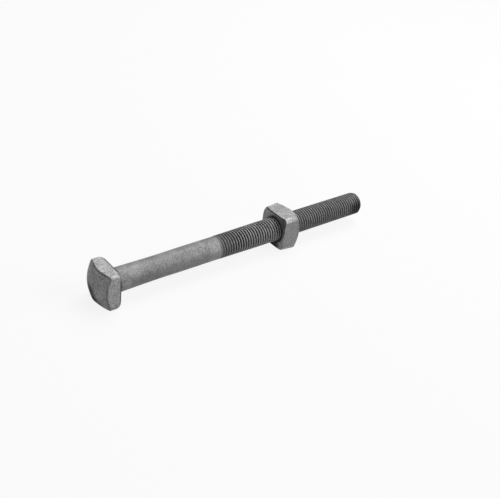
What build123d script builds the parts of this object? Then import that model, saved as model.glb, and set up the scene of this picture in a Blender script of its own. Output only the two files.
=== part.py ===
from build123d import *
import os
from math import cos, radians, sin, sqrt, tan

# Machine bolt: a forged bolt with a crowned square head, and the square nut run onto its thread.
# Millimetres. The bolt lies on one flat of its head and one flat of its nut. The origin is the
# centre of the head's bearing face, +X runs along the shank to the threaded end, and +Z is up.

# Bolt, lengths along X from the bearing face under the head
bolt_length = 200.0
thread_length = 125.5
thread_runout = 2.4
shank_diameter = 14.8
thread_diameter = 16.0
end_chamfer_depth = 1.3
under_head_fillet = 0.7

# Wrench flats, one size for the head and the nut
across_flats = 24.0
flats_corner_radius = 1.9

# Head: its outside is a cone that ends in a round crown, so each flat is cut off in an arc
head_height = 13.0
head_cone_angle = 30.5
head_crown_radius = 21.5
head_corner_rounding = 3.0
head_arris_radius = 0.7

# Nut
grip_length = 123.5
nut_height = 13.0
nut_top_circle_inset = 0.4
nut_top_chamfer_angle = 32.0
nut_corner_rounding = 3.7
nut_countersink_width = 0.7
thread_clearance = 0.05

# Stock left outside the corners of a turned blank, so that only its rims cut them
blank_allowance = 0.2

thread_radius = thread_diameter / 2
shank_radius = shank_diameter / 2
thread_start = bolt_length - thread_length
half_flats = across_flats / 2
# distance from the axis to the rounded corners of the square
corner_reach = sqrt(2) * (half_flats - flats_corner_radius) + flats_corner_radius
blank_radius = corner_reach + blank_allowance


def rod(start, length, radius):
    """Round rod along +X from X = start."""
    return extrude(Plane.YZ.offset(start) * Circle(radius), amount=length)


def square_bar(start, length):
    """Square bar with rounded corners along +X from X = start."""
    section = RectangleRounded(across_flats, across_flats, flats_corner_radius)
    return extrude(Plane.YZ.offset(start) * section, amount=length)


def rim_at(solid, x):
    """Circular edges of a solid that lie in the plane X = x."""
    return solid.edges().filter_by(GeomType.CIRCLE).filter_by_position(Axis.X, x, x)


def cone_arrises(solid):
    """Edges where a cone meets the flats and their rounded corners."""
    edges = [edge for face in solid.faces().filter_by(GeomType.CONE) for edge in face.edges()]
    return [edge for edge in edges if edge.geom_type != GeomType.CIRCLE]


def crowned_blank():
    """Turned blank of the head: round crown, cone, and a bearing face with a rounded rim."""
    slope = radians(head_cone_angle)
    crown_centre = -head_height + head_crown_radius
    crown_rim = (crown_centre - head_crown_radius * cos(slope), head_crown_radius * sin(slope))
    cone_end = crown_rim[0] + (blank_radius - crown_rim[1]) * tan(slope)
    crown = CenterArc((crown_centre, 0), head_crown_radius, 180, -head_cone_angle)
    rest = Polyline(crown_rim, (cone_end, blank_radius), (0, blank_radius), (0, 0), (-head_height, 0))
    blank = revolve(make_face([crown, rest]), axis=Axis.X)
    return fillet(rim_at(blank, 0), head_corner_rounding)


def forged_head():
    """Square head: crowned outside, with the corners of its bearing face forged round."""
    head = square_bar(-head_height, head_height) & crowned_blank()
    return fillet(cone_arrises(head), head_arris_radius)


def threaded_rod():
    """Shank and threaded length, with the taper where the thread runs out on the shank."""
    shank = rod(0, thread_start, shank_radius)
    taper_start = Plane.YZ.offset(thread_start) * Circle(shank_radius)
    taper_end = Plane.YZ.offset(thread_start + thread_runout) * Circle(thread_radius)
    threaded = rod(thread_start + thread_runout, thread_length - thread_runout, thread_radius)
    threaded = chamfer(rim_at(threaded, bolt_length), end_chamfer_depth)
    return shank + loft([taper_start, taper_end]) + threaded


def make_bolt():
    """The bolt in one piece, with a fillet where the shank leaves the head."""
    bolt = forged_head() + threaded_rod()
    shank_root = rim_at(bolt, 0).filter_by(lambda edge: edge.radius == shank_radius)
    return fillet(shank_root, under_head_fillet)


def turned_nut_blank():
    """Round blank of the nut: bearing side rim rounded, top rim chamfered."""
    top = grip_length + nut_height
    blank = rod(grip_length, nut_height, blank_radius)
    blank = fillet(rim_at(blank, grip_length), nut_corner_rounding)
    width = blank_radius - (half_flats - nut_top_circle_inset)
    depth = width * tan(radians(nut_top_chamfer_angle))
    return chamfer(rim_at(blank, top), depth, width)


def make_nut():
    """Square nut, countersunk at both ends of its hole."""
    top = grip_length + nut_height
    nut = square_bar(grip_length, nut_height) & turned_nut_blank()
    hole_radius = thread_radius + thread_clearance
    nut -= rod(grip_length, nut_height, hole_radius)
    rims = rim_at(nut, grip_length) + rim_at(nut, top)
    return chamfer(rims.filter_by(lambda edge: edge.radius == hole_radius), nut_countersink_width)


os.makedirs("parts", exist_ok=True)
export_step(make_bolt(), "parts/machine_bolt.step")
export_step(make_nut(), "parts/square_nut.step")
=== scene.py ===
from math import asin, atan, atan2, ceil, cos, exp, hypot, pi, radians, sin, sqrt, tan

import bmesh
import bpy
from mathutils import Matrix, Vector, noise


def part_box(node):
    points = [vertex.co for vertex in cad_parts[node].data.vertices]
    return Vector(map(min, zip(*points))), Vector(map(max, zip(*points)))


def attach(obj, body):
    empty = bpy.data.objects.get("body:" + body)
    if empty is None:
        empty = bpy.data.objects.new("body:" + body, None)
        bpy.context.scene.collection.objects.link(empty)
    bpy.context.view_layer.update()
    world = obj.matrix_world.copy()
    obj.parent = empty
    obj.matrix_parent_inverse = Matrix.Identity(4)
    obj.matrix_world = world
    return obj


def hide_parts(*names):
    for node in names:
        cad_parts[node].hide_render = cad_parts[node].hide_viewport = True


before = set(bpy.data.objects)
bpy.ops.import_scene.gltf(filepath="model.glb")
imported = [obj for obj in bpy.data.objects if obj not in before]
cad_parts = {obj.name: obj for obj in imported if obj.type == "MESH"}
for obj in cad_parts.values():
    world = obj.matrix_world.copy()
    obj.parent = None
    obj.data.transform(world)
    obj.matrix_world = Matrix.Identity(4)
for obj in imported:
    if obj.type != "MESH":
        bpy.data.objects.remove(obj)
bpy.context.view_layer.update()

# Machine bolt with a crowned square head and a square nut, both hot-dip galvanised.
# Metres. The bolt lies along +X from the bearing face under its head, +Z is up. The solids of the
# frame carry the plain forms; the two meshes made here stand for them and add the rolled thread,
# the soft forged edges and the zinc coat.

MM = 0.001

# Places that the frame gives
bolt_low, bolt_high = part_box("machine_bolt")
nut_low, nut_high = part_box("square_nut")
crown_x, bolt_end_x = bolt_low[0], bolt_high[0]
nut_seat_x, nut_top_x = nut_low[0], nut_high[0]
half_flats = bolt_high[2]
rest_height = bolt_low[2]

# Rolled thread, M16 x 2
pitch = 2.0 * MM
thread_radius = 8.0 * MM
thread_start_x = 74.65 * MM
crest_runout = 2.4 * MM
root_runout = 3.6 * MM
# crests as rolled: low on the first turns, fullest before the nut, a little low past it
first_crest = 7.7 * MM
full_crest = 8.03 * MM
far_crest = 7.8 * MM
full_crest_x = 112.0 * MM
root_depth = 1.227 * MM
# half the flat of a crest and the width of a flank, as shares of the pitch
crest_half_width = 0.07
flank_width = 0.40
end_chamfer = 1.85 * MM
end_edge = 0.3 * MM
# rings of the faced end, as shares of its radius, with one close inside the rim
face_shares = (1.0, 0.95, 0.7, 0.45, 0.2, 0.0)
# how far the zinc rounds the ridges, from 0 for sharp flanks to 1
zinc_fill = 0.7
# where each turn is cut across, as shares of the pitch from the middle of a crest
turn_cuts = (-0.44, -0.35, -0.225, -0.1, -0.045, 0.045, 0.1, 0.225, 0.35, 0.44)

# Shank
shank_radius = 7.48 * MM
shank_ring_spacing = 1.2 * MM
swell_height = 0.32 * MM
swell_length = 5.0 * MM
waist_depth = 0.22 * MM
waist_x = 30.0 * MM
waist_length = 15.0 * MM
under_head_fillet = 0.7 * MM

# Head
flats_corner = 1.9 * MM
sharp_corner = 0.8 * MM
crown_radius = 21.5 * MM
cone_slope = radians(30.5)
head_corner_rounding = 3.0 * MM
head_arris = 0.6 * MM
bearing_edge = 0.5 * MM
bearing_reach = 10.4 * MM
# groove that the trimming left along the crown's arcs, deeper on the upper flat
trim_groove_depth = 0.36 * MM
side_groove_depth = 0.22 * MM
groove_blend = 2.0 * MM
trim_groove_width = 0.45 * MM
trim_groove_setback = 0.95 * MM
# low bulge of the crown
bulge_place = (-11.4 * MM, 0.0 * MM, -8.2 * MM)
bulge_size = 3.6 * MM
bulge_height = 0.65 * MM

# Nut
nut_corner_rounding = 3.7 * MM
nut_top_inset = 0.4 * MM
nut_top_slope = radians(32.0)
nut_arris = 0.35 * MM
seat_edge = 0.15 * MM
nut_corner = 0.6 * MM
seat_bevel_width = 3.2 * MM
top_bevel_width = 1.4 * MM
nut_face_reach = 9.6 * MM
countersink = 0.7 * MM
thread_clearance = 0.05 * MM
nut_thread_gap = 0.08 * MM
# draft of the near flat at the seat, and the share of it that is gone at the top
front_draft = 0.7 * MM
draft_loss = 0.6

# Round blank from which head and nut are cut: just outside the corners of the square
blank_allowance = 0.2 * MM
blank_radius = sqrt(2) * (half_flats - flats_corner) + flats_corner + blank_allowance

# Unevenness of each surface: the height and the width of its hills
head_hills = ((0.055 * MM, 4.2 * MM), (0.02 * MM, 1.3 * MM))
shank_hills = ((0.03 * MM, 6.0 * MM),)
thread_hills = ((0.012 * MM, 1.5 * MM),)
nut_hills = ((0.04 * MM, 3.6 * MM), (0.015 * MM, 1.2 * MM))

# Lighter and darker patches of zinc, some of them painted light and shade as noted at each list: the
# middle of each, its size and its change of tone
# the lighter patches on the crown's near half are painted light, the darker ones far off and low by
# the rim painted shade
crown_patches = [
    ((crown_x, -7.5 * MM, 2.0 * MM), 7.5 * MM, 0.16),
    ((crown_x, -7.5 * MM, 9.0 * MM), 5.0 * MM, 0.12),
    ((crown_x, -6.5 * MM, -3.5 * MM), 3.5 * MM, 0.15),
    ((crown_x, -9.0 * MM, -5.5 * MM), 3.0 * MM, -0.3),
    ((crown_x, 6.0 * MM, 1.0 * MM), 5.5 * MM, -0.3),
]
# the lighter patch high on the near side follows the shank's lit band as a painted highlight, and the
# broad darker one low on the near side is painted shade
shank_patches = [
    ((5.5 * MM, -7.0 * MM, -1.0 * MM), 5.0 * MM, 0.25),
    ((15.0 * MM, -4.0 * MM, 6.2 * MM), 7.0 * MM, 0.16),
    ((24.0 * MM, -7.3 * MM, -1.0 * MM), 13.0 * MM, -0.14),
    ((27.0 * MM, 2.0 * MM, 7.0 * MM), 5.0 * MM, -0.25),
    ((71.0 * MM, 2.5 * MM, 7.0 * MM), 9.0 * MM, -0.4),
    ((50.0 * MM, 2.5 * MM, 7.0 * MM), 9.0 * MM, -0.15),
]
# the dark patch at the end, low on the near side, is painted shade, and the light one on the last
# crests is a painted highlight
thread_patches = [
    ((196.0 * MM, -7.5 * MM, -1.0 * MM), 10.5 * MM, -0.8),
    ((193.5 * MM, -4.5 * MM, 6.0 * MM), 6.0 * MM, 0.35),
    ((88.0 * MM, 2.5 * MM, 8.5 * MM), 12.0 * MM, -0.2),
    ((112.0 * MM, 2.5 * MM, 8.5 * MM), 9.0 * MM, -0.3),
]
# Patches of scale and painted shade low on the crown, and of painted shade on the nut's seat, with
# the strength of each
scale_shade_patches = [
    ((crown_x, 2.0 * MM, -3.5 * MM), 7.0 * MM, 0.7),
    ((crown_x, -1.0 * MM, -8.5 * MM), 6.0 * MM, 0.9),
    ((crown_x, -5.5 * MM, -9.5 * MM), 5.5 * MM, 0.6),
]
seat_shade_patches = [
    ((nut_seat_x, -1.5 * MM, -10.5 * MM), 8.0 * MM, 0.9),
    ((nut_seat_x, -9.0 * MM, 7.0 * MM), 11.0 * MM, 0.45),
]

# Where the upper crests carry a painted highlight and the roots between them deeper painted shade
highlight_start_x = 88.0 * MM
highlight_end_x = nut_seat_x - 4.0 * MM

# Greys of the zinc in its clean places, under its painted highlights and painted shade, and in its
# scale; and its gloss
head_grey = 0.44
shank_grey = 0.265
nut_grey = 0.335
shade_scale_grey = 0.03
# crests and roots of the thread: the roots are painted darker as shade
plain_crest_grey = 0.265
plain_root_grey = 0.2
highlit_crest_grey = 0.44
shaded_root_grey = 0.085
# the nut's thread and countersinks are dark with oil and painted shade
nut_thread_grey = 0.10
nut_thread_shade_grey = 0.03
zinc_metallic = 0.15
zinc_specular = 0.35
zinc_roughness = 0.55
shade_scale_roughness = 0.45
# the nut's seat is smoother and more metallic than its flats
seat_metallic_change = 0.3
seat_roughness_change = -0.1

# Painted shade on the crown's low side, where it turns down towards the floor: the direction away
# from it, the heights in that direction where it begins and is full, and how far its edge strays
shade_rise = (0.0, -0.45, 0.89)
shade_begins = -5.0 * MM
shade_full = -8.5 * MM
shade_wander = 5.0 * MM

# Each pattern of noise is moved by a shift of its own, so that no two of them line up
cloud_shift = 7.0 * MM
grain_shift = 17.0 * MM
fleck_shift = 31.0 * MM
pimple_shift = 53.0 * MM
edge_shift = 71.0 * MM
patch_shift = 93.0 * MM

# Floor: half its width, and how far it is below the CAD, to clear the low forging marks
floor_reach = 3.0
floor_gap = 0.06 * MM

# Points round the axis, the same in every ring, so that rings join one to the next
flat_steps = 9
corner_steps = 6
sides = 4 * (2 * flat_steps + corner_steps)

# Rings of points along each piece, and how finely its outside is traced
outside_rings = 72
fillet_steps = 6
bearing_rings = 4
nut_face_rings = 2
trace_rays = 400
trace_halvings = 26
bend_weight = 1.6 * MM
weld_distance = 0.001 * MM


# ---------------------------------------------------------------- forms as distances to a surface

def rounded_join(first, second, radius):
    """Distance outside two surfaces that meet in an edge of the given radius."""
    over = hypot(max(first + radius, 0.0), max(second + radius, 0.0))
    return min(max(first, second), -radius) + over


def flats_gap(y, z, corner):
    """Distance outside the four wrench flats and their rounded corners."""
    core = half_flats - corner
    across, up = abs(y) - core, abs(z) - core
    return hypot(max(across, 0.0), max(up, 0.0)) + min(max(across, up), 0.0) - corner


def crown_gap(x, reach):
    """Distance outside the head's crown: a round middle that runs into a cone."""
    centre_x = crown_x + crown_radius
    cone_reach = crown_radius * sin(cone_slope)
    if reach < cone_reach:
        slope = asin(reach / crown_radius)
        surface_x = centre_x - crown_radius * cos(slope)
    else:
        slope = cone_slope
        surface_x = centre_x - crown_radius * cos(slope) + (reach - cone_reach) * tan(slope)
    return (surface_x - x) * cos(slope)


def head_gap(x, y, z):
    """Distance outside the forged head. One corner of the four came sharper from the die."""
    reach = hypot(y, z)
    flats = flats_gap(y, z, sharp_corner if y < 0 < z else flats_corner)
    on_top = ease(-groove_blend, groove_blend, z - abs(y))
    depth = side_groove_depth + (trim_groove_depth - side_groove_depth) * on_top
    groove = depth * exp(-((flats + trim_groove_setback) / trim_groove_width) ** 2)
    outside = rounded_join(flats, crown_gap(x, reach) + groove, head_arris)
    bearing = rounded_join(reach - blank_radius, x, head_corner_rounding)
    return rounded_join(outside, bearing, bearing_edge)


def nut_gap(x, y, z):
    """Distance outside the nut, its hole left out. Its near flat draws in towards the seat."""
    reach = hypot(y, z)
    chamfer = (x - nut_top_x) * cos(nut_top_slope)
    chamfer += (reach - half_flats + nut_top_inset) * sin(nut_top_slope)
    top = rounded_join(chamfer, x - nut_top_x, nut_arris)
    bearing = rounded_join(reach - blank_radius, nut_seat_x - x, nut_corner_rounding)
    along = (x - nut_seat_x) / (nut_top_x - nut_seat_x)
    y -= front_draft * (1 - draft_loss * along) * ease(0.0, half_flats, -y)
    bevel_width = seat_bevel_width + (top_bevel_width - seat_bevel_width) * along
    bevel = (abs(y) + abs(z) + bevel_width / sqrt(2)) / sqrt(2) - sqrt(2) * half_flats
    square = rounded_join(flats_gap(y, z, nut_corner), bevel, nut_arris)
    return rounded_join(rounded_join(square, top, nut_arris), bearing, seat_edge)


# ------------------------------------------------------------------------------ rings of points

def round_angles():
    """Angles round the axis, evenly spaced."""
    return [2 * pi * step / sides for step in range(sides)]


def square_angles():
    """Angles round the axis that follow the square, closer together on its rounded corners."""
    core = half_flats - flats_corner
    outline = [(half_flats, core * step / flat_steps) for step in range(flat_steps)]
    for step in range(corner_steps):
        turn = pi / 2 * step / corner_steps
        outline.append((core + flats_corner * cos(turn), core + flats_corner * sin(turn)))
    outline += [(core - core * step / flat_steps, half_flats) for step in range(flat_steps)]
    quarter = [atan2(z, y) for y, z in outline]
    return [angle + pi / 2 * turn for turn in range(4) for angle in quarter]


def at_angle(x, reach, angle):
    """Point at a distance from the axis, in the half plane at an angle round it."""
    return Vector((x, reach * cos(angle), reach * sin(angle)))


def circle(x, reach):
    """Ring of evenly spaced points about the axis."""
    return [at_angle(x, reach, angle) for angle in round_angles()]


def surface_point(gap, middle_x, angle, lean):
    """Where a ray from the axis leaves a solid. Lean is 0 along -X and pi along +X."""
    inside, outside = 0.0, 2 * blank_radius
    for _ in range(trace_halvings):
        middle = (inside + outside) / 2
        x, reach = middle_x - middle * cos(lean), middle * sin(lean)
        if gap(x, reach * cos(angle), reach * sin(angle)) < 0:
            inside = middle
        else:
            outside = middle
    return middle_x - inside * cos(lean), inside * sin(lean)


def spread_points(line, count):
    """The same line with a set count of points, which crowd where it bends."""
    weights = [0.0]
    for index in range(1, len(line)):
        x, reach = line[index]
        before_x, before_reach = line[index - 1]
        step = hypot(x - before_x, reach - before_reach)
        bend = 0.0
        if index > 1:
            older_x, older_reach = line[index - 2]
            turn = atan2(reach - before_reach, x - before_x)
            turn -= atan2(before_reach - older_reach, before_x - older_x)
            bend = abs(atan2(sin(turn), cos(turn)))
        weights.append(weights[-1] + step + bend_weight * bend)
    points, index = [], 0
    for place in range(count):
        target = weights[-1] * place / (count - 1)
        while index < len(line) - 2 and weights[index + 1] < target:
            index += 1
        share = (target - weights[index]) / (weights[index + 1] - weights[index])
        (x, reach), (next_x, next_reach) = line[index], line[index + 1]
        points.append((x + (next_x - x) * share, reach + (next_reach - reach) * share))
    return points


def traced_rings(gap, middle_x, first_lean, last_lean, count):
    """Rings of points on a solid's outside, from one lean of the ray to another."""
    step = (last_lean - first_lean) / trace_rays
    leans = [first_lean + step * ray for ray in range(trace_rays + 1)]
    rings = [[] for _ in range(count)]
    for angle in square_angles():
        line = [surface_point(gap, middle_x, angle, lean) for lean in leans]
        for ring, (x, reach) in zip(rings, spread_points(line, count)):
            ring.append(at_angle(x, reach, angle))
    return rings


def rings_between(first, last, count):
    """Rings that change evenly from one ring to another, the two ends left out."""
    shares = [step / (count + 1) for step in range(1, count + 1)]
    return [[a.lerp(b, share) for a, b in zip(first, last)] for share in shares]


# --------------------------------------------------------------------------------- the thread

def ease(low, high, value):
    """0 below low, 1 above high and a smooth rise between."""
    share = min(max((value - low) / (high - low), 0.0), 1.0)
    return share * share * (3 - 2 * share)


def ridge_depth(x, angle):
    """Share of the full thread depth at a place: 0 on a crest, 1 in a root."""
    turns = (x - thread_start_x) / pitch - angle / (2 * pi)
    from_crest = abs(turns - round(turns))
    straight = min(max((from_crest - crest_half_width) / flank_width, 0.0), 1.0)
    return zinc_fill * ease(0.0, 1.0, straight) + (1 - zinc_fill) * straight


def shank_reach(x):
    """Radius of the forged shank: swelled under the head, slightly waisted further on."""
    swell = swell_height * exp(-x / swell_length)
    waist = waist_depth * exp(-((x - waist_x) / waist_length) ** 2)
    return shank_radius + swell - waist


def crest_reach(x):
    """Radius over the crests of the bolt's thread."""
    rolled_x = thread_start_x + crest_runout
    rise = (first_crest - shank_radius) * ease(thread_start_x, rolled_x, x)
    rise += (full_crest - first_crest) * ease(rolled_x, full_crest_x, x)
    return shank_radius + rise - (full_crest - far_crest) * ease(nut_seat_x, nut_top_x, x)


def bolt_reach(x, angle):
    """Radius of the bolt's thread, with its run-out on the shank and its end chamfer."""
    crest = crest_reach(x)
    root = shank_radius + (thread_radius - root_depth - shank_radius) * ease(
        thread_start_x, thread_start_x + root_runout, x)
    chamfer = thread_radius - end_chamfer + bolt_end_x - x
    return min(crest - (crest - root) * ridge_depth(x, angle), chamfer)


def nut_reach(x, angle):
    """Radius of the nut's thread, which fits round the bolt's, with its countersinks."""
    hole = thread_radius + thread_clearance
    thread = thread_radius + nut_thread_gap - root_depth * ridge_depth(x, angle)
    sink = hole + countersink - min(x - nut_seat_x, nut_top_x - x)
    return max(min(thread, hole), sink)


def add_faces(mesh, rows):
    """Four-sided faces between rows of vertices, each row closed round the axis."""
    for row, after in zip(rows, rows[1:]):
        for index in range(len(row)):
            beside = (index + 1) % len(row)
            mesh.faces.new((row[index], row[beside], after[beside], after[index]))


def add_rings(mesh, rings):
    """Rings of points joined by faces."""
    add_faces(mesh, [[mesh.verts.new(point) for point in ring] for ring in rings])


def add_thread(mesh, reach_at, first_x, last_x):
    """Helical skin between two planes. Every row climbs one pitch in a turn, so that a row's end
    meets the start of the row one turn further on. Points past the planes are brought back to
    them, where they fall together into one plain ring at each end."""
    cuts = len(turn_cuts)
    spare_turns = 2
    first_turn = int((first_x - thread_start_x) // pitch) - spare_turns
    turns = ceil((last_x - first_x) / pitch) + 2 * spare_turns
    columns = []
    for side, angle in enumerate(round_angles()):
        column = []
        for row in range(turns * cuts):
            turn = first_turn + row // cuts + turn_cuts[row % cuts] + side / sides
            x = min(max(thread_start_x + turn * pitch, first_x), last_x)
            column.append(mesh.verts.new(at_angle(x, reach_at(x, angle), angle)))
        columns.append(column)
    columns.append(columns[0][cuts:])
    for column, beside in zip(columns, columns[1:]):
        for row in range(len(beside) - 1):
            mesh.faces.new((column[row], beside[row], beside[row + 1], column[row + 1]))


# ------------------------------------------------------------------------------- the two pieces

def roughen(mesh, height_at):
    """Moves each point outwards by what height_at gives for its place and its normal."""
    mesh.normal_update()
    moves = [point.normal * height_at(point.co, point.normal) for point in mesh.verts]
    for point, move in zip(mesh.verts, moves):
        point.co += move


def unevenness(place, hills):
    """Smooth rise and fall of a surface, from the height and the width of its hills."""
    return sum(height * noise.noise(place / width) for height, width in hills)


def make_object(name, mesh, materials, material_at):
    """Object from a bmesh, smooth shaded, each face with the material for its middle."""
    for face in mesh.faces:
        face.smooth = True
        face.material_index = material_at(face.calc_center_median())
    data = bpy.data.meshes.new(name)
    mesh.to_mesh(data)
    mesh.free()
    for material in materials:
        data.materials.append(material)
    piece = bpy.data.objects.new(name, data)
    bpy.context.scene.collection.objects.link(piece)
    return piece


def weld(mesh):
    """Joins the points that fall together and turns every face outwards."""
    bmesh.ops.remove_doubles(mesh, verts=mesh.verts, dist=weld_distance)
    bmesh.ops.recalc_face_normals(mesh, faces=mesh.faces)


def bolt_surface(place, normal):
    """Forging marks and a bulge on the head, slight waves on the shank, less on the thread."""
    if place.x < 0:
        off_middle = (place - Vector(bulge_place)).length / bulge_size
        bulge = bulge_height * max(-normal.x, 0.0) * exp(-off_middle ** 2)
        return bulge + unevenness(place, head_hills)
    if place.x < thread_start_x:
        return unevenness(place, shank_hills)
    return unevenness(place, thread_hills)


def make_bolt(head_zinc, shank_zinc, thread_zinc):
    """The bolt in one skin: head, shank, thread and faced end."""
    mesh = bmesh.new()
    middle_x = crown_x / 2
    last_lean = pi - atan(bearing_reach / -middle_x)
    head = traced_rings(head_gap, middle_x, 0.0, last_lean, outside_rings)
    fillet_reach = shank_reach(under_head_fillet) + under_head_fillet
    fillet = []
    for step in range(fillet_steps + 1):
        turn = pi / 2 * step / fillet_steps
        x = under_head_fillet * (1 - cos(turn))
        fillet.append(circle(x, fillet_reach - under_head_fillet * sin(turn)))
    bearing = rings_between(head[-1], fillet[0], bearing_rings)
    shank_steps = round((thread_start_x - under_head_fillet) / shank_ring_spacing)
    shank = []
    for step in range(1, shank_steps):
        x = under_head_fillet + (thread_start_x - under_head_fillet) * step / shank_steps
        shank.append(circle(x, shank_reach(x)))
    add_rings(mesh, head + bearing + fillet + shank + [circle(thread_start_x, shank_radius)])
    face_x = bolt_end_x - end_edge
    add_thread(mesh, bolt_reach, thread_start_x, face_x)
    rim = [at_angle(face_x, bolt_reach(face_x, angle), angle) for angle in round_angles()]
    end_reach = thread_radius - end_chamfer - end_edge
    end_face = [circle(bolt_end_x, end_reach * share) for share in face_shares]
    # a ring that rounds the edge between the chamfer and the end face
    soft_edge = circle(bolt_end_x - 0.3 * end_edge, end_reach + 0.6 * end_edge)
    add_rings(mesh, [rim, soft_edge] + end_face)
    weld(mesh)
    roughen(mesh, bolt_surface)
    head_end_x = 0.35 * under_head_fillet

    def finish_at(place):
        if place.x < head_end_x:
            return 0
        return 1 if place.x < thread_start_x else 2

    return make_object("galvanised_bolt", mesh, [head_zinc, shank_zinc, thread_zinc], finish_at)


def nut_surface(place, normal):
    """Pressing marks on the outside of the nut; its thread stays true."""
    countersink_reach = thread_radius + thread_clearance + countersink
    if hypot(place.y, place.z) < countersink_reach + 0.05 * MM:
        return 0.0
    return unevenness(place, nut_hills)


def make_nut(nut_zinc, thread_zinc):
    """The nut in one skin: outside, faces, countersinks and inner thread."""
    mesh = bmesh.new()
    middle_x = (nut_seat_x + nut_top_x) / 2
    lean = atan(nut_face_reach / (middle_x - nut_seat_x))
    outside = traced_rings(nut_gap, middle_x, lean, pi - lean, outside_rings)
    sink_reach = thread_radius + thread_clearance + countersink
    seat_rim, top_rim = circle(nut_seat_x, sink_reach), circle(nut_top_x, sink_reach)
    seat = [seat_rim] + rings_between(seat_rim, outside[0], nut_face_rings)
    top = rings_between(outside[-1], top_rim, nut_face_rings) + [top_rim]
    add_rings(mesh, seat + outside + top)
    add_thread(mesh, nut_reach, nut_seat_x, nut_top_x)
    weld(mesh)
    roughen(mesh, nut_surface)

    def finish_at(place):
        return 1 if hypot(place.y, place.z) < sink_reach else 0

    return make_object("galvanised_nut", mesh, [nut_zinc, thread_zinc], finish_at)


# ------------------------------------------------------------------------------- node building

def add_node(tree, kind, inputs=(), **settings):
    """Node with its settings, and its inputs set to values or joined to other sockets."""
    node = tree.nodes.new(kind)
    for name, value in settings.items():
        setattr(node, name, value)
    for name, value in dict(inputs).items():
        if isinstance(value, bpy.types.NodeSocket):
            tree.links.new(value, node.inputs[name])
        else:
            node.inputs[name].default_value = value
    return node


def calculate(tree, operation, first, second=0.0, third=0.0, clamp=False):
    """Math node's result."""
    inputs = {0: first, 1: second, 2: third}
    return add_node(tree, "ShaderNodeMath", inputs, operation=operation, use_clamp=clamp).outputs[0]


def rescale(tree, value, low, high, new_low=0.0, new_high=1.0):
    """Value carried smoothly from one range to another."""
    inputs = {"Value": value, "From Min": low, "From Max": high,
              "To Min": new_low, "To Max": new_high}
    return add_node(tree, "ShaderNodeMapRange", inputs,
                    interpolation_type="SMOOTHSTEP").outputs["Result"]


def new_group(name, inputs, outputs):
    """Shader node group with named values in and out."""
    tree = bpy.data.node_groups.new(name, "ShaderNodeTree")
    for socket_name, default in inputs.items():
        socket = tree.interface.new_socket(socket_name, in_out="INPUT", socket_type="NodeSocketFloat")
        socket.default_value = default
    for socket_name in outputs:
        tree.interface.new_socket(socket_name, in_out="OUTPUT", socket_type="NodeSocketFloat")
    return tree, tree.nodes.new("NodeGroupInput").outputs, tree.nodes.new("NodeGroupOutput").inputs


def put_group(tree, group, **values):
    """Group placed in a material with its own values, and its outputs."""
    node = tree.nodes.new("ShaderNodeGroup")
    node.node_tree = group
    for name, value in values.items():
        socket = node.inputs[name.replace("_", " ").capitalize()]
        if isinstance(value, bpy.types.NodeSocket):
            tree.links.new(value, socket)
        else:
            socket.default_value = value
    return node.outputs


def noise_value(tree, size, shift, detail=3.0, roughness=0.6):
    """Noise between 0 and 1 with patches about as wide as size."""
    place = add_node(tree, "ShaderNodeTexCoord").outputs["Object"]
    moved = add_node(tree, "ShaderNodeVectorMath", {0: place, 1: (shift,) * 3}).outputs[0]
    inputs = {"Vector": moved, "Scale": calculate(tree, "DIVIDE", 1.0, size),
              "Detail": detail, "Roughness": roughness}
    return add_node(tree, "ShaderNodeTexNoise", inputs).outputs["Fac"]


def stray(tree, size, shift, detail=3.0, roughness=0.6):
    """Noise that strays to both sides of 0."""
    return calculate(tree, "SUBTRACT", noise_value(tree, size, shift, detail, roughness), 0.5)


def place_parts(tree):
    """X, Y and Z of a place on a piece."""
    place = add_node(tree, "ShaderNodeTexCoord").outputs["Object"]
    return add_node(tree, "ShaderNodeSeparateXYZ", {0: place}).outputs


def along_axis(tree, axis, start, end, first=0.0, last=1.0):
    """Value that goes smoothly from first to last between two places along X, Y or Z."""
    return rescale(tree, place_parts(tree)[axis], start, end, first, last)


def cloudy_tone_group():
    """Light and dark of the zinc, in wide clouds and small flecks, 1 on average."""
    tree, given, out = new_group(
        "Cloudy tone", {"Cloud size": 4.5 * MM, "Cloud strength": 0.7, "Fleck size": 0.85 * MM,
                        "Fleck strength": 2.6}, ["Tone"])
    clouds = stray(tree, given["Cloud size"], cloud_shift, detail=2.0, roughness=0.5)
    flecks = stray(tree, given["Fleck size"], fleck_shift)
    tone = calculate(tree, "MULTIPLY_ADD", clouds, given["Cloud strength"], 1.0)
    tone = calculate(tree, "MULTIPLY_ADD", flecks, given["Fleck strength"], tone)
    tree.links.new(tone, out["Tone"])
    return tree


def zinc_grain_group():
    """Height of the coat: fine grain and low rounded pimples, 0 to 1."""
    tree, given, out = new_group(
        "Zinc grain", {"Grain size": 0.5 * MM, "Pimple size": 1.6 * MM, "Pimple share": 0.5},
        ["Height"])
    grain = noise_value(tree, given["Grain size"], grain_shift)
    pimples = noise_value(tree, given["Pimple size"], pimple_shift, detail=1.0, roughness=0.4)
    foot, summit = 0.45, 0.75
    raised = rescale(tree, pimples, foot, summit)
    inputs = {"Factor": given["Pimple share"], 2: grain, 3: raised}
    tree.links.new(add_node(tree, "ShaderNodeMix", inputs).outputs[0], out["Height"])
    return tree


def shade_in_recesses_group():
    """Painted shade in recesses: 1 deep in a corner or groove, 0 in the open."""
    tree, given, out = new_group("Shade in recesses", {"Reach": 1.5 * MM, "Strength": 1.0}, ["Mask"])
    openness = add_node(tree, "ShaderNodeAmbientOcclusion", {"Distance": given["Reach"]},
                        samples=8).outputs["AO"]
    closed_in, in_the_open = 0.35, 0.95
    closed = rescale(tree, openness, closed_in, in_the_open, 1.0, 0.0)
    tree.links.new(calculate(tree, "MULTIPLY", closed, given["Strength"]), out["Mask"])
    return tree


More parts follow.
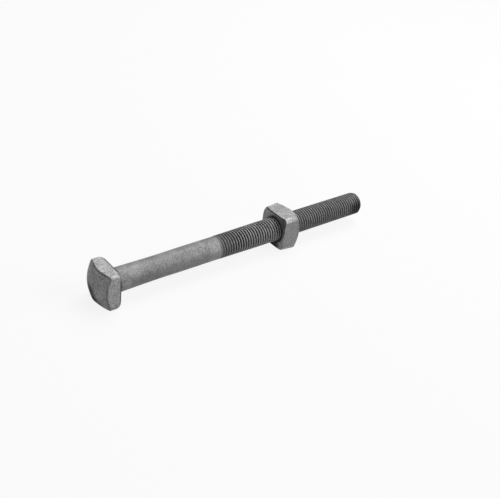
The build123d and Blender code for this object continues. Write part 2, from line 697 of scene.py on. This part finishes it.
def reach_out(tree):
    """Distance from the bolt's axis."""
    parts = place_parts(tree)
    square = calculate(tree, "MULTIPLY", parts["Z"], parts["Z"])
    square = calculate(tree, "MULTIPLY_ADD", parts["Y"], parts["Y"], square)
    return calculate(tree, "SQRT", square)


def height_out(tree):
    """Distance from the axis, measured square to the nearest flat."""
    parts = place_parts(tree)
    return calculate(tree, "MAXIMUM", calculate(tree, "ABSOLUTE", parts["Y"]),
                     calculate(tree, "ABSOLUTE", parts["Z"]))


def sum_out(tree):
    """Sum of the distances from the axis along Y and Z, which is largest at the corners."""
    parts = place_parts(tree)
    return calculate(tree, "ADD", calculate(tree, "ABSOLUTE", parts["Y"]),
                     calculate(tree, "ABSOLUTE", parts["Z"]))


def share_group(name, measure, value_at, start, end):
    """Group whose share is 0 at one value of a measure and 1 at another, smooth between."""
    first, last = "From " + measure, "To " + measure
    tree, given, out = new_group(name, {first: start, last: end}, ["Share"])
    share = rescale(tree, value_at(tree), given[first], given[last])
    tree.links.new(share, out["Share"])
    return tree


def length_share_group():
    """0 at one place along the bolt and 1 at another. Its line round the bolt is ragged."""
    tree, given, out = new_group("Length share", {"From x": 0.0, "To x": 1 * MM, "Ragged": 0.0},
                                 ["Share"])
    x = calculate(tree, "MULTIPLY_ADD", stray(tree, 3.0 * MM, edge_shift), given["Ragged"],
                  place_parts(tree)["X"])
    tree.links.new(rescale(tree, x, given["From x"], given["To x"]), out["Share"])
    return tree


def facing_share_group():
    """1 on faces that look towards the head's end of the bolt, 0 on its sides and beyond."""
    tree, _, out = new_group("Facing share", {}, ["Share"])
    normal = add_node(tree, "ShaderNodeNewGeometry").outputs["Normal"]
    along = add_node(tree, "ShaderNodeSeparateXYZ", {0: normal}).outputs["X"]
    sideways, facing = -0.1, -0.4
    tree.links.new(rescale(tree, along, sideways, facing), out["Share"])
    return tree


def soft_patch_group():
    """1 in the middle of a ragged patch round a place, and 0 away from it."""
    tree, given, out = new_group(
        "Soft patch", {"Middle x": 0.0, "Middle y": 0.0, "Middle z": 0.0, "Size": 5 * MM,
                       "Ragged": 0.5}, ["Mask"])
    middle = add_node(tree, "ShaderNodeCombineXYZ",
                      {axis: given["Middle " + axis.lower()] for axis in "XYZ"}).outputs[0]
    place = add_node(tree, "ShaderNodeTexCoord").outputs["Object"]
    away = add_node(tree, "ShaderNodeVectorMath", {0: place, 1: middle},
                    operation="DISTANCE").outputs["Value"]
    share = calculate(tree, "DIVIDE", away, given["Size"])
    share = calculate(tree, "MULTIPLY_ADD", stray(tree, 2.5 * MM, patch_shift), given["Ragged"],
                      share)
    edge, full = 1.0, 0.3
    tree.links.new(rescale(tree, share, edge, full), out["Mask"])
    return tree


cloudy_tone = cloudy_tone_group()
zinc_grain = zinc_grain_group()
shade_in_recesses = shade_in_recesses_group()
reach_share = share_group("Reach share", "reach", reach_out, 8 * MM, 7 * MM)
flats_share = share_group("Flats share", "height", height_out, 10 * MM, 11 * MM)
corner_share = share_group("Corner share", "sum", sum_out, 22 * MM, 23 * MM)
length_share = length_share_group()
facing_share = facing_share_group()
soft_patch = soft_patch_group()


# ----------------------------------------------------------------------------------- finishes

def new_material(name):
    """Material with an empty tree and its surface output."""
    material = bpy.data.materials.new(name)
    material.use_nodes = True
    material.node_tree.nodes.clear()
    return material, material.node_tree, material.node_tree.nodes.new("ShaderNodeOutputMaterial")


def grey(level):
    """Neutral colour."""
    return (level, level, level, 1.0)


def mix_colour(tree, share, first, second):
    """Colour between two others."""
    inputs = {"Factor": share, 6: first, 7: second}
    return add_node(tree, "ShaderNodeMix", inputs, data_type="RGBA").outputs[2]


def toned(tree, colour, tone):
    """Colour made lighter or darker by a tone, 1 for no change."""
    scaled = add_node(tree, "ShaderNodeVectorMath", {0: colour, "Scale": tone}, operation="SCALE")
    return scaled.outputs[0]


def along_band(tree, first_x, last_x, fade, ragged):
    """1 between two places along the bolt, and 0 past a fade at each end."""
    rise = put_group(tree, length_share, from_x=first_x - fade, to_x=first_x,
                     ragged=ragged)["Share"]
    fall = put_group(tree, length_share, from_x=last_x + fade, to_x=last_x,
                     ragged=ragged)["Share"]
    return calculate(tree, "MULTIPLY", rise, fall)


def patch(tree, middle, size):
    """Ragged patch round a place."""
    x, y, z = middle
    return put_group(tree, soft_patch, middle_x=x, middle_y=y, middle_z=z, size=size)["Mask"]


def stronger(tree, mask, other, strength=1.0):
    """The larger of two masks, the second weakened first."""
    return calculate(tree, "MAXIMUM", mask, calculate(tree, "MULTIPLY", other, strength))


def brushed_with(tree, tone, mask, change):
    """Tone raised or lowered by a share where a mask is."""
    factor = calculate(tree, "MULTIPLY_ADD", mask, change, 1.0)
    return calculate(tree, "MULTIPLY", tone, factor)


def with_patches(tree, tone, patches):
    """Tone with the lighter and darker patches of a list."""
    for middle, size, change in patches:
        tone = brushed_with(tree, tone, patch(tree, middle, size), change)
    return tone


def coat_tone(tree, **strengths):
    """Cloudy light and dark of one coat of zinc."""
    return put_group(tree, cloudy_tone, **strengths)["Tone"]


def coat_shade(tree, strength=0.8):
    """Painted shade in the corners and grooves of a piece."""
    return put_group(tree, shade_in_recesses, reach=1.2 * MM, strength=strength)["Mask"]


def zinc_shader(tree, output, colour, shade_and_scale, roughness=zinc_roughness, metallic=zinc_metallic,
                bump=0.06 * MM, pimple_share=0.5):
    """Dull galvanised surface with its grain, rougher under the painted shade and the scale."""
    height = put_group(tree, zinc_grain, grain_size=0.45 * MM, pimple_size=1.5 * MM,
                       pimple_share=pimple_share)["Height"]
    normal = add_node(tree, "ShaderNodeBump", {"Height": height, "Strength": 1.0,
                                               "Distance": bump}).outputs["Normal"]
    rough = calculate(tree, "MULTIPLY_ADD", shade_and_scale, shade_scale_roughness, roughness, clamp=True)
    shader = add_node(tree, "ShaderNodeBsdfPrincipled",
                      {"Base Color": colour, "Metallic": metallic, "Roughness": rough,
                       "Normal": normal, "Specular IOR Level": zinc_specular})
    tree.links.new(shader.outputs[0], output.inputs["Surface"])


def rim_shade(tree):
    """Painted shade along the crown's rim: most on its low side, some on its high side, less near."""
    rim = put_group(tree, flats_share, from_height=10.7 * MM, to_height=11.6 * MM)["Share"]
    high_rim = along_axis(tree, "Z", 8.0 * MM, 10.0 * MM, last=0.6)
    low_rim = along_axis(tree, "Z", -8.0 * MM, -10.0 * MM, last=0.95)
    near_fade = along_axis(tree, "Y", -10.0 * MM, -6.0 * MM, first=0.3)
    high_and_low = calculate(tree, "MULTIPLY", near_fade,
                             calculate(tree, "ADD", high_rim, low_rim))
    near_rim = calculate(tree, "MULTIPLY",
                         along_axis(tree, "Y", -10.0 * MM, -11.0 * MM, last=0.35),
                         along_axis(tree, "Z", 7.0 * MM, 3.0 * MM))
    return calculate(tree, "MULTIPLY", rim, stronger(tree, high_and_low, near_rim))


def crown_shade_and_scale(tree):
    """Dark scale and painted shade on the crown: painted shade over its low side and along its rim,
    scale and painted shade in patches, less far off.
    """
    place = add_node(tree, "ShaderNodeTexCoord").outputs["Object"]
    height = add_node(tree, "ShaderNodeVectorMath", {0: place, 1: shade_rise},
                      operation="DOT_PRODUCT").outputs["Value"]
    height = calculate(tree, "MULTIPLY_ADD", stray(tree, 3.0 * MM, edge_shift), shade_wander,
                       height)
    low_side = rescale(tree, height, shade_begins, shade_full)
    crown_shade_scale = stronger(tree, low_side, rim_shade(tree))
    for middle, size, strength in scale_shade_patches:
        crown_shade_scale = stronger(tree, crown_shade_scale, patch(tree, middle, size), strength)
    far_fade = along_axis(tree, "Y", 4.0 * MM, 9.5 * MM, first=1.0, last=0.25)
    return calculate(tree, "MULTIPLY", crown_shade_scale, far_fade)


def head_finish():
    """Forged head: clean on its flats, with painted highlights along its corners, the crown painted
    lighter as painted light and darkened by scale and painted shade, and painted shade on the bearing
    side.
    """
    material, tree, output = new_material("head_zinc")
    crown_side = put_group(tree, facing_share)["Share"]
    crown_shade_scale = calculate(tree, "MULTIPLY", crown_shade_and_scale(tree), crown_side)
    # painted shade along the bearing side, where the head meets the shank
    bearing_side = put_group(tree, length_share, from_x=-1.3 * MM, to_x=-0.6 * MM)["Share"]
    shade_and_scale = stronger(tree, coat_shade(tree), crown_shade_scale)
    shade_and_scale = stronger(tree, shade_and_scale, bearing_side, strength=0.85)
    # painted highlight along the corners between the flats
    corner_glint = put_group(tree, corner_share, from_sum=22.3 * MM, to_sum=23.0 * MM)["Share"]
    tone = brushed_with(tree, coat_tone(tree), corner_glint, change=0.2)
    # painted light: the crown, which faces away from the lamps, is made lighter
    tone = brushed_with(tree, tone, crown_side, change=0.18)
    tone = with_patches(tree, tone, crown_patches)
    colour = toned(tree, mix_colour(tree, shade_and_scale, grey(head_grey), grey(shade_scale_grey)), tone)
    zinc_shader(tree, output, colour, shade_and_scale)
    return material


def shank_finish():
    """Forged shank: darker than the head, with painted shade beside the head, and clean before the
    thread.
    """
    material, tree, output = new_material("shank_zinc")
    # painted shade on the shank next to the head, where the head shades it
    collar = put_group(tree, length_share, from_x=2.4 * MM, to_x=0.9 * MM,
                       ragged=0.6 * MM)["Share"]
    beside_head = put_group(tree, length_share, from_x=4.0 * MM, to_x=2.6 * MM,
                            ragged=0.5 * MM)["Share"]
    shade_and_scale = stronger(tree, coat_shade(tree), collar, strength=0.8)
    shade_and_scale = stronger(tree, shade_and_scale, beside_head, strength=0.25)
    clean = along_band(tree, thread_start_x - 6.0 * MM, thread_start_x + 3.0 * MM,
                       fade=2.5 * MM, ragged=4.0 * MM)
    tone = coat_tone(tree, cloud_strength=0.8, fleck_strength=2.1)
    tone = brushed_with(tree, tone, clean, change=0.28)
    tone = with_patches(tree, tone, shank_patches)
    colour = toned(tree, mix_colour(tree, shade_and_scale, grey(shank_grey), grey(shade_scale_grey)), tone)
    zinc_shader(tree, output, colour, shade_and_scale)
    return material


def thread_finish():
    """Rolled thread: roots painted dark as shade, and before the nut, on its upper side, crests
    painted bright as a highlight with roots painted darker; its lower side painted darker as shade.
    """
    material, tree, output = new_material("thread_zinc")
    # painted shade in the roots
    root = put_group(tree, reach_share, from_reach=full_crest - 0.1 * MM,
                     to_reach=full_crest - 0.95 * MM)["Share"]
    # painted highlight on the upper crests before the nut
    crest_highlight = along_band(tree, highlight_start_x, highlight_end_x, fade=6.0 * MM, ragged=3.0 * MM)
    upper = along_axis(tree, "Z", -6.0 * MM, 0.0, first=0.3)
    crest_highlight = calculate(tree, "MULTIPLY", crest_highlight, upper)
    root = calculate(tree, "MULTIPLY", root, upper)
    shade_and_scale = stronger(tree, root, coat_shade(tree, strength=0.5))
    crests = mix_colour(tree, crest_highlight, grey(plain_crest_grey), grey(highlit_crest_grey))
    roots = mix_colour(tree, crest_highlight, grey(plain_root_grey), grey(shaded_root_grey))
    lower = calculate(tree, "SUBTRACT", 1.0, upper)
    faced = put_group(tree, length_share, from_x=bolt_end_x - 2.2 * MM,
                      to_x=bolt_end_x - 1.2 * MM)["Share"]
    tone = coat_tone(tree, cloud_strength=0.6, fleck_strength=0.4)
    # painted shade: the lower side of the thread is made darker
    tone = brushed_with(tree, tone, lower, change=-0.25)
    tone = brushed_with(tree, tone, faced, change=-0.35)
    tone = with_patches(tree, tone, thread_patches)
    colour = toned(tree, mix_colour(tree, shade_and_scale, crests, roots), tone)
    zinc_shader(tree, output, colour, shade_and_scale, roughness=0.5, bump=0.02 * MM, pimple_share=0.2)
    return material


def seat_shading(tree):
    """Painted shade on the nut's seat: along its high rim and in patches."""
    rim = put_group(tree, flats_share, from_height=10.6 * MM, to_height=11.6 * MM)["Share"]
    shade_and_scale = calculate(tree, "MULTIPLY", rim,
                     along_axis(tree, "Z", 10.0 * MM, 11.0 * MM, last=0.8))
    for middle, size, strength in seat_shade_patches:
        shade_and_scale = stronger(tree, shade_and_scale, patch(tree, middle, size), strength)
    return shade_and_scale


def nut_finish():
    """Pressed nut: clean flats, a smoother seat painted dark as shade, a ring of painted shade and
    grease round the thread, and corners painted bright near the seat as a highlight.
    """
    material, tree, output = new_material("nut_zinc")
    seat_side = put_group(tree, facing_share)["Share"]
    # painted shade and grease in a ring round the thread, wider on the near side
    ring = put_group(tree, reach_share, from_reach=10.8 * MM, to_reach=9.0 * MM)["Share"]
    ring = calculate(tree, "MULTIPLY", ring,
                     along_axis(tree, "Y", 5.0 * MM, 1.0 * MM, first=0.25))
    shade_and_scale = stronger(tree, coat_shade(tree), ring, strength=0.92)
    shade_and_scale = stronger(tree, shade_and_scale, calculate(tree, "MULTIPLY", seat_shading(tree), seat_side))
    # painted highlight on the corners near the seat
    corner = put_group(tree, corner_share, from_sum=20.5 * MM, to_sum=21.1 * MM)["Share"]
    near_seat = put_group(tree, length_share, from_x=nut_top_x + 1.0 * MM, to_x=nut_seat_x,
                          ragged=8.0 * MM)["Share"]
    corner_glint = calculate(tree, "MULTIPLY", corner, near_seat)
    tone = brushed_with(tree, coat_tone(tree), corner_glint, change=0.6)
    # painted shade: the seat, which faces away from the lamps, is made darker
    tone = brushed_with(tree, tone, seat_side, change=-0.15)
    colour = toned(tree, mix_colour(tree, shade_and_scale, grey(nut_grey), grey(shade_scale_grey)), tone)
    metallic = calculate(tree, "MULTIPLY_ADD", seat_side, seat_metallic_change, zinc_metallic)
    roughness = calculate(tree, "MULTIPLY_ADD", seat_side, seat_roughness_change,
                          zinc_roughness)
    zinc_shader(tree, output, colour, shade_and_scale, roughness=roughness, metallic=metallic)
    return material


def nut_thread_finish():
    """Cut thread inside the nut and its countersinks, dark with oil and painted shade, darker still
    where painted shade falls in their recesses.
    """
    material, tree, output = new_material("nut_thread_zinc")
    shade_and_scale = coat_shade(tree)
    colour = toned(tree, mix_colour(tree, shade_and_scale, grey(nut_thread_grey), grey(nut_thread_shade_grey)),
                   coat_tone(tree))
    zinc_shader(tree, output, colour, shade_and_scale, bump=0.03 * MM)
    return material


# ------------------------------------------------------------------------------ floor and light

def seen_directly(tree):
    """1 for what the camera sees directly, in a gloss or through glass, else 0."""
    path = add_node(tree, "ShaderNodeLightPath").outputs
    seen = calculate(tree, "MAXIMUM", path["Is Camera Ray"], path["Is Glossy Ray"])
    return calculate(tree, "MAXIMUM", seen, path["Is Transmission Ray"])


def make_floor(colour, seen_colour, whiteness):
    """Plain pale floor under the bolt. It shows nearly white and keeps the bolt's shadow."""
    material, tree, output = new_material("pale_floor")
    seen = seen_directly(tree)
    shown = mix_colour(tree, seen, grey(colour), grey(seen_colour))
    paint = add_node(tree, "ShaderNodeBsdfDiffuse", {"Color": shown}).outputs[0]
    white = add_node(tree, "ShaderNodeEmission", {"Color": grey(1.0), "Strength": 1.0}).outputs[0]
    share = calculate(tree, "MULTIPLY", seen, whiteness)
    mixed = add_node(tree, "ShaderNodeMixShader", {0: share, 1: paint, 2: white}).outputs[0]
    tree.links.new(mixed, output.inputs["Surface"])
    level = rest_height - floor_gap
    corners = [(-floor_reach, -floor_reach, level), (floor_reach, -floor_reach, level),
               (floor_reach, floor_reach, level), (-floor_reach, floor_reach, level)]
    data = bpy.data.meshes.new("floor")
    data.from_pydata(corners, [], [(0, 1, 2, 3)])
    data.materials.append(material)
    floor = bpy.data.objects.new("floor", data)
    bpy.context.scene.collection.objects.link(floor)


def make_world(level):
    """Even studio light from all round, with a white backdrop where it is seen."""
    world = bpy.data.worlds.new("studio")
    bpy.context.scene.world = world
    world.use_nodes = True
    tree = world.node_tree
    tree.nodes.clear()
    even = add_node(tree, "ShaderNodeBackground", {"Color": grey(1.0), "Strength": level})
    white = add_node(tree, "ShaderNodeBackground", {"Color": grey(1.0), "Strength": 1.0})
    mixed = add_node(tree, "ShaderNodeMixShader",
                     {0: seen_directly(tree), 1: even.outputs[0], 2: white.outputs[0]})
    output = tree.nodes.new("ShaderNodeOutputWorld")
    tree.links.new(mixed.outputs[0], output.inputs["Surface"])


def look_rotation(place, target, roll=0.0):
    """Rotation that points -Z from a place at a target, turned about that line by roll."""
    forward = (target - place).normalized()
    right = forward.cross(Vector((0, 0, 1))).normalized()
    up = right.cross(forward)
    frame_axes = Matrix((right, up, -forward)).transposed()
    return frame_axes @ Matrix.Rotation(roll, 3, "Z")


def heading(azimuth, elevation):
    """Direction at an angle from +X towards +Y, and an angle above the floor."""
    return Vector((cos(elevation) * cos(azimuth), cos(elevation) * sin(azimuth), sin(elevation)))


def add_lamp(name, target, azimuth, elevation, distance, size, power):
    """Soft square lamp that shines on a target from one side."""
    light = bpy.data.lights.new(name, "AREA")
    light.shape = "SQUARE"
    light.size = size
    light.energy = power
    lamp = bpy.data.objects.new(name, light)
    lamp.location = target + heading(azimuth, elevation) * distance
    lamp.rotation_euler = look_rotation(lamp.location, target).to_euler()
    bpy.context.scene.collection.objects.link(lamp)


def add_camera(target, azimuth, elevation, distance, roll, lens):
    """Camera that looks down on the bolt from its head's end."""
    forward = heading(azimuth, -elevation)
    data = bpy.data.cameras.new("camera")
    data.lens = lens
    data.sensor_width = 36.0
    data.clip_start = 0.01
    data.clip_end = 50.0
    camera = bpy.data.objects.new("camera", data)
    camera.location = target - forward * distance
    camera.rotation_euler = look_rotation(camera.location, target, roll).to_euler()
    bpy.context.scene.collection.objects.link(camera)
    bpy.context.scene.camera = camera


# ------------------------------------------------------------------------------------ assembly

bolt = make_bolt(head_finish(), shank_finish(), thread_finish())
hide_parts("machine_bolt")
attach(bolt, "bolt")

nut = make_nut(nut_finish(), nut_thread_finish())
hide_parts("square_nut")
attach(nut, "nut")

make_floor(colour=0.32, seen_colour=0.9, whiteness=0.88)
make_world(level=0.055)
middle = Vector((100.0, -5.6, -5.5)) * MM
add_lamp("high_lamp", middle, radians(30), radians(60), distance=1.2, size=0.8, power=10.0)
add_lamp("side_lamp", middle, radians(-45), radians(30), distance=1.2, size=0.8, power=8.2)
add_camera(middle, radians(47.91), radians(32.86), distance=532 * MM, roll=radians(7.51),
           lens=58.67)
bpy.context.scene.view_settings.view_transform = "Standard"
